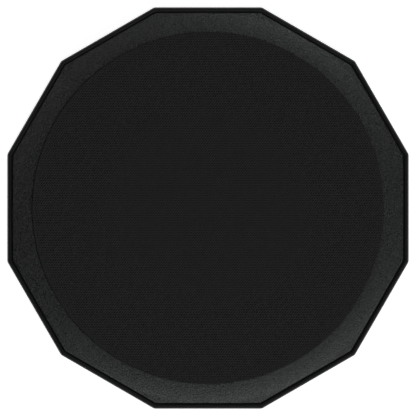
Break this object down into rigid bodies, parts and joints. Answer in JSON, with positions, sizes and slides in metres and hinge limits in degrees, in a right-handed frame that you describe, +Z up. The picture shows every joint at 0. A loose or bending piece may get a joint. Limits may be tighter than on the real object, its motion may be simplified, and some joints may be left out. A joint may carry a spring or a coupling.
{
  "type": "drum practice pad",
  "caption": "Twelve-sided drum practice pad: raised round embossed rubber playing surface in a textured board collar, rubber edge rim, ribbed non-slip mat and stand thread.",
  "frame": {"origin": "centre of the footprint, on the surface that the pad rests on", "axes": "+Z up out of the playing surface; +X and +Y each square to a flat of the outline"},
  "size_m": [0.3048, 0.3048, 0.0254],
  "materials": {
    "embossed_rubber": "matt black, fine embossed weave",
    "gum_rubber": "matt, cut edges",
    "damping_foam": "closed-cell foam, cut edges",
    "bond_film": "adhesive film",
    "textured_paint": "black textured paint on board",
    "board_underside": "black sealed board",
    "rim_rubber": "smooth black, satin",
    "mat_rubber": "matt, ribbed",
    "zinc_steel": "zinc plated",
    "screw_steel": "zinc plated",
    "black_screw": "black phosphate"
  },
  "bodies": {
    "root": {"playing_skin": "embossed_rubber", "gum_rubber_disc": "gum_rubber", "damping_foam_disc": "damping_foam", "pad_bond_film": "bond_film", "collar_board": "textured_paint", "base_board": "board_underside", "edge_rim": "rim_rubber", "base_mat": "mat_rubber", "mat_bond_film": "bond_film", "stand_flange": "zinc_steel", "flange_screws": "screw_steel", "collar_screws": "black_screw"}
  },
  "joints": []
}
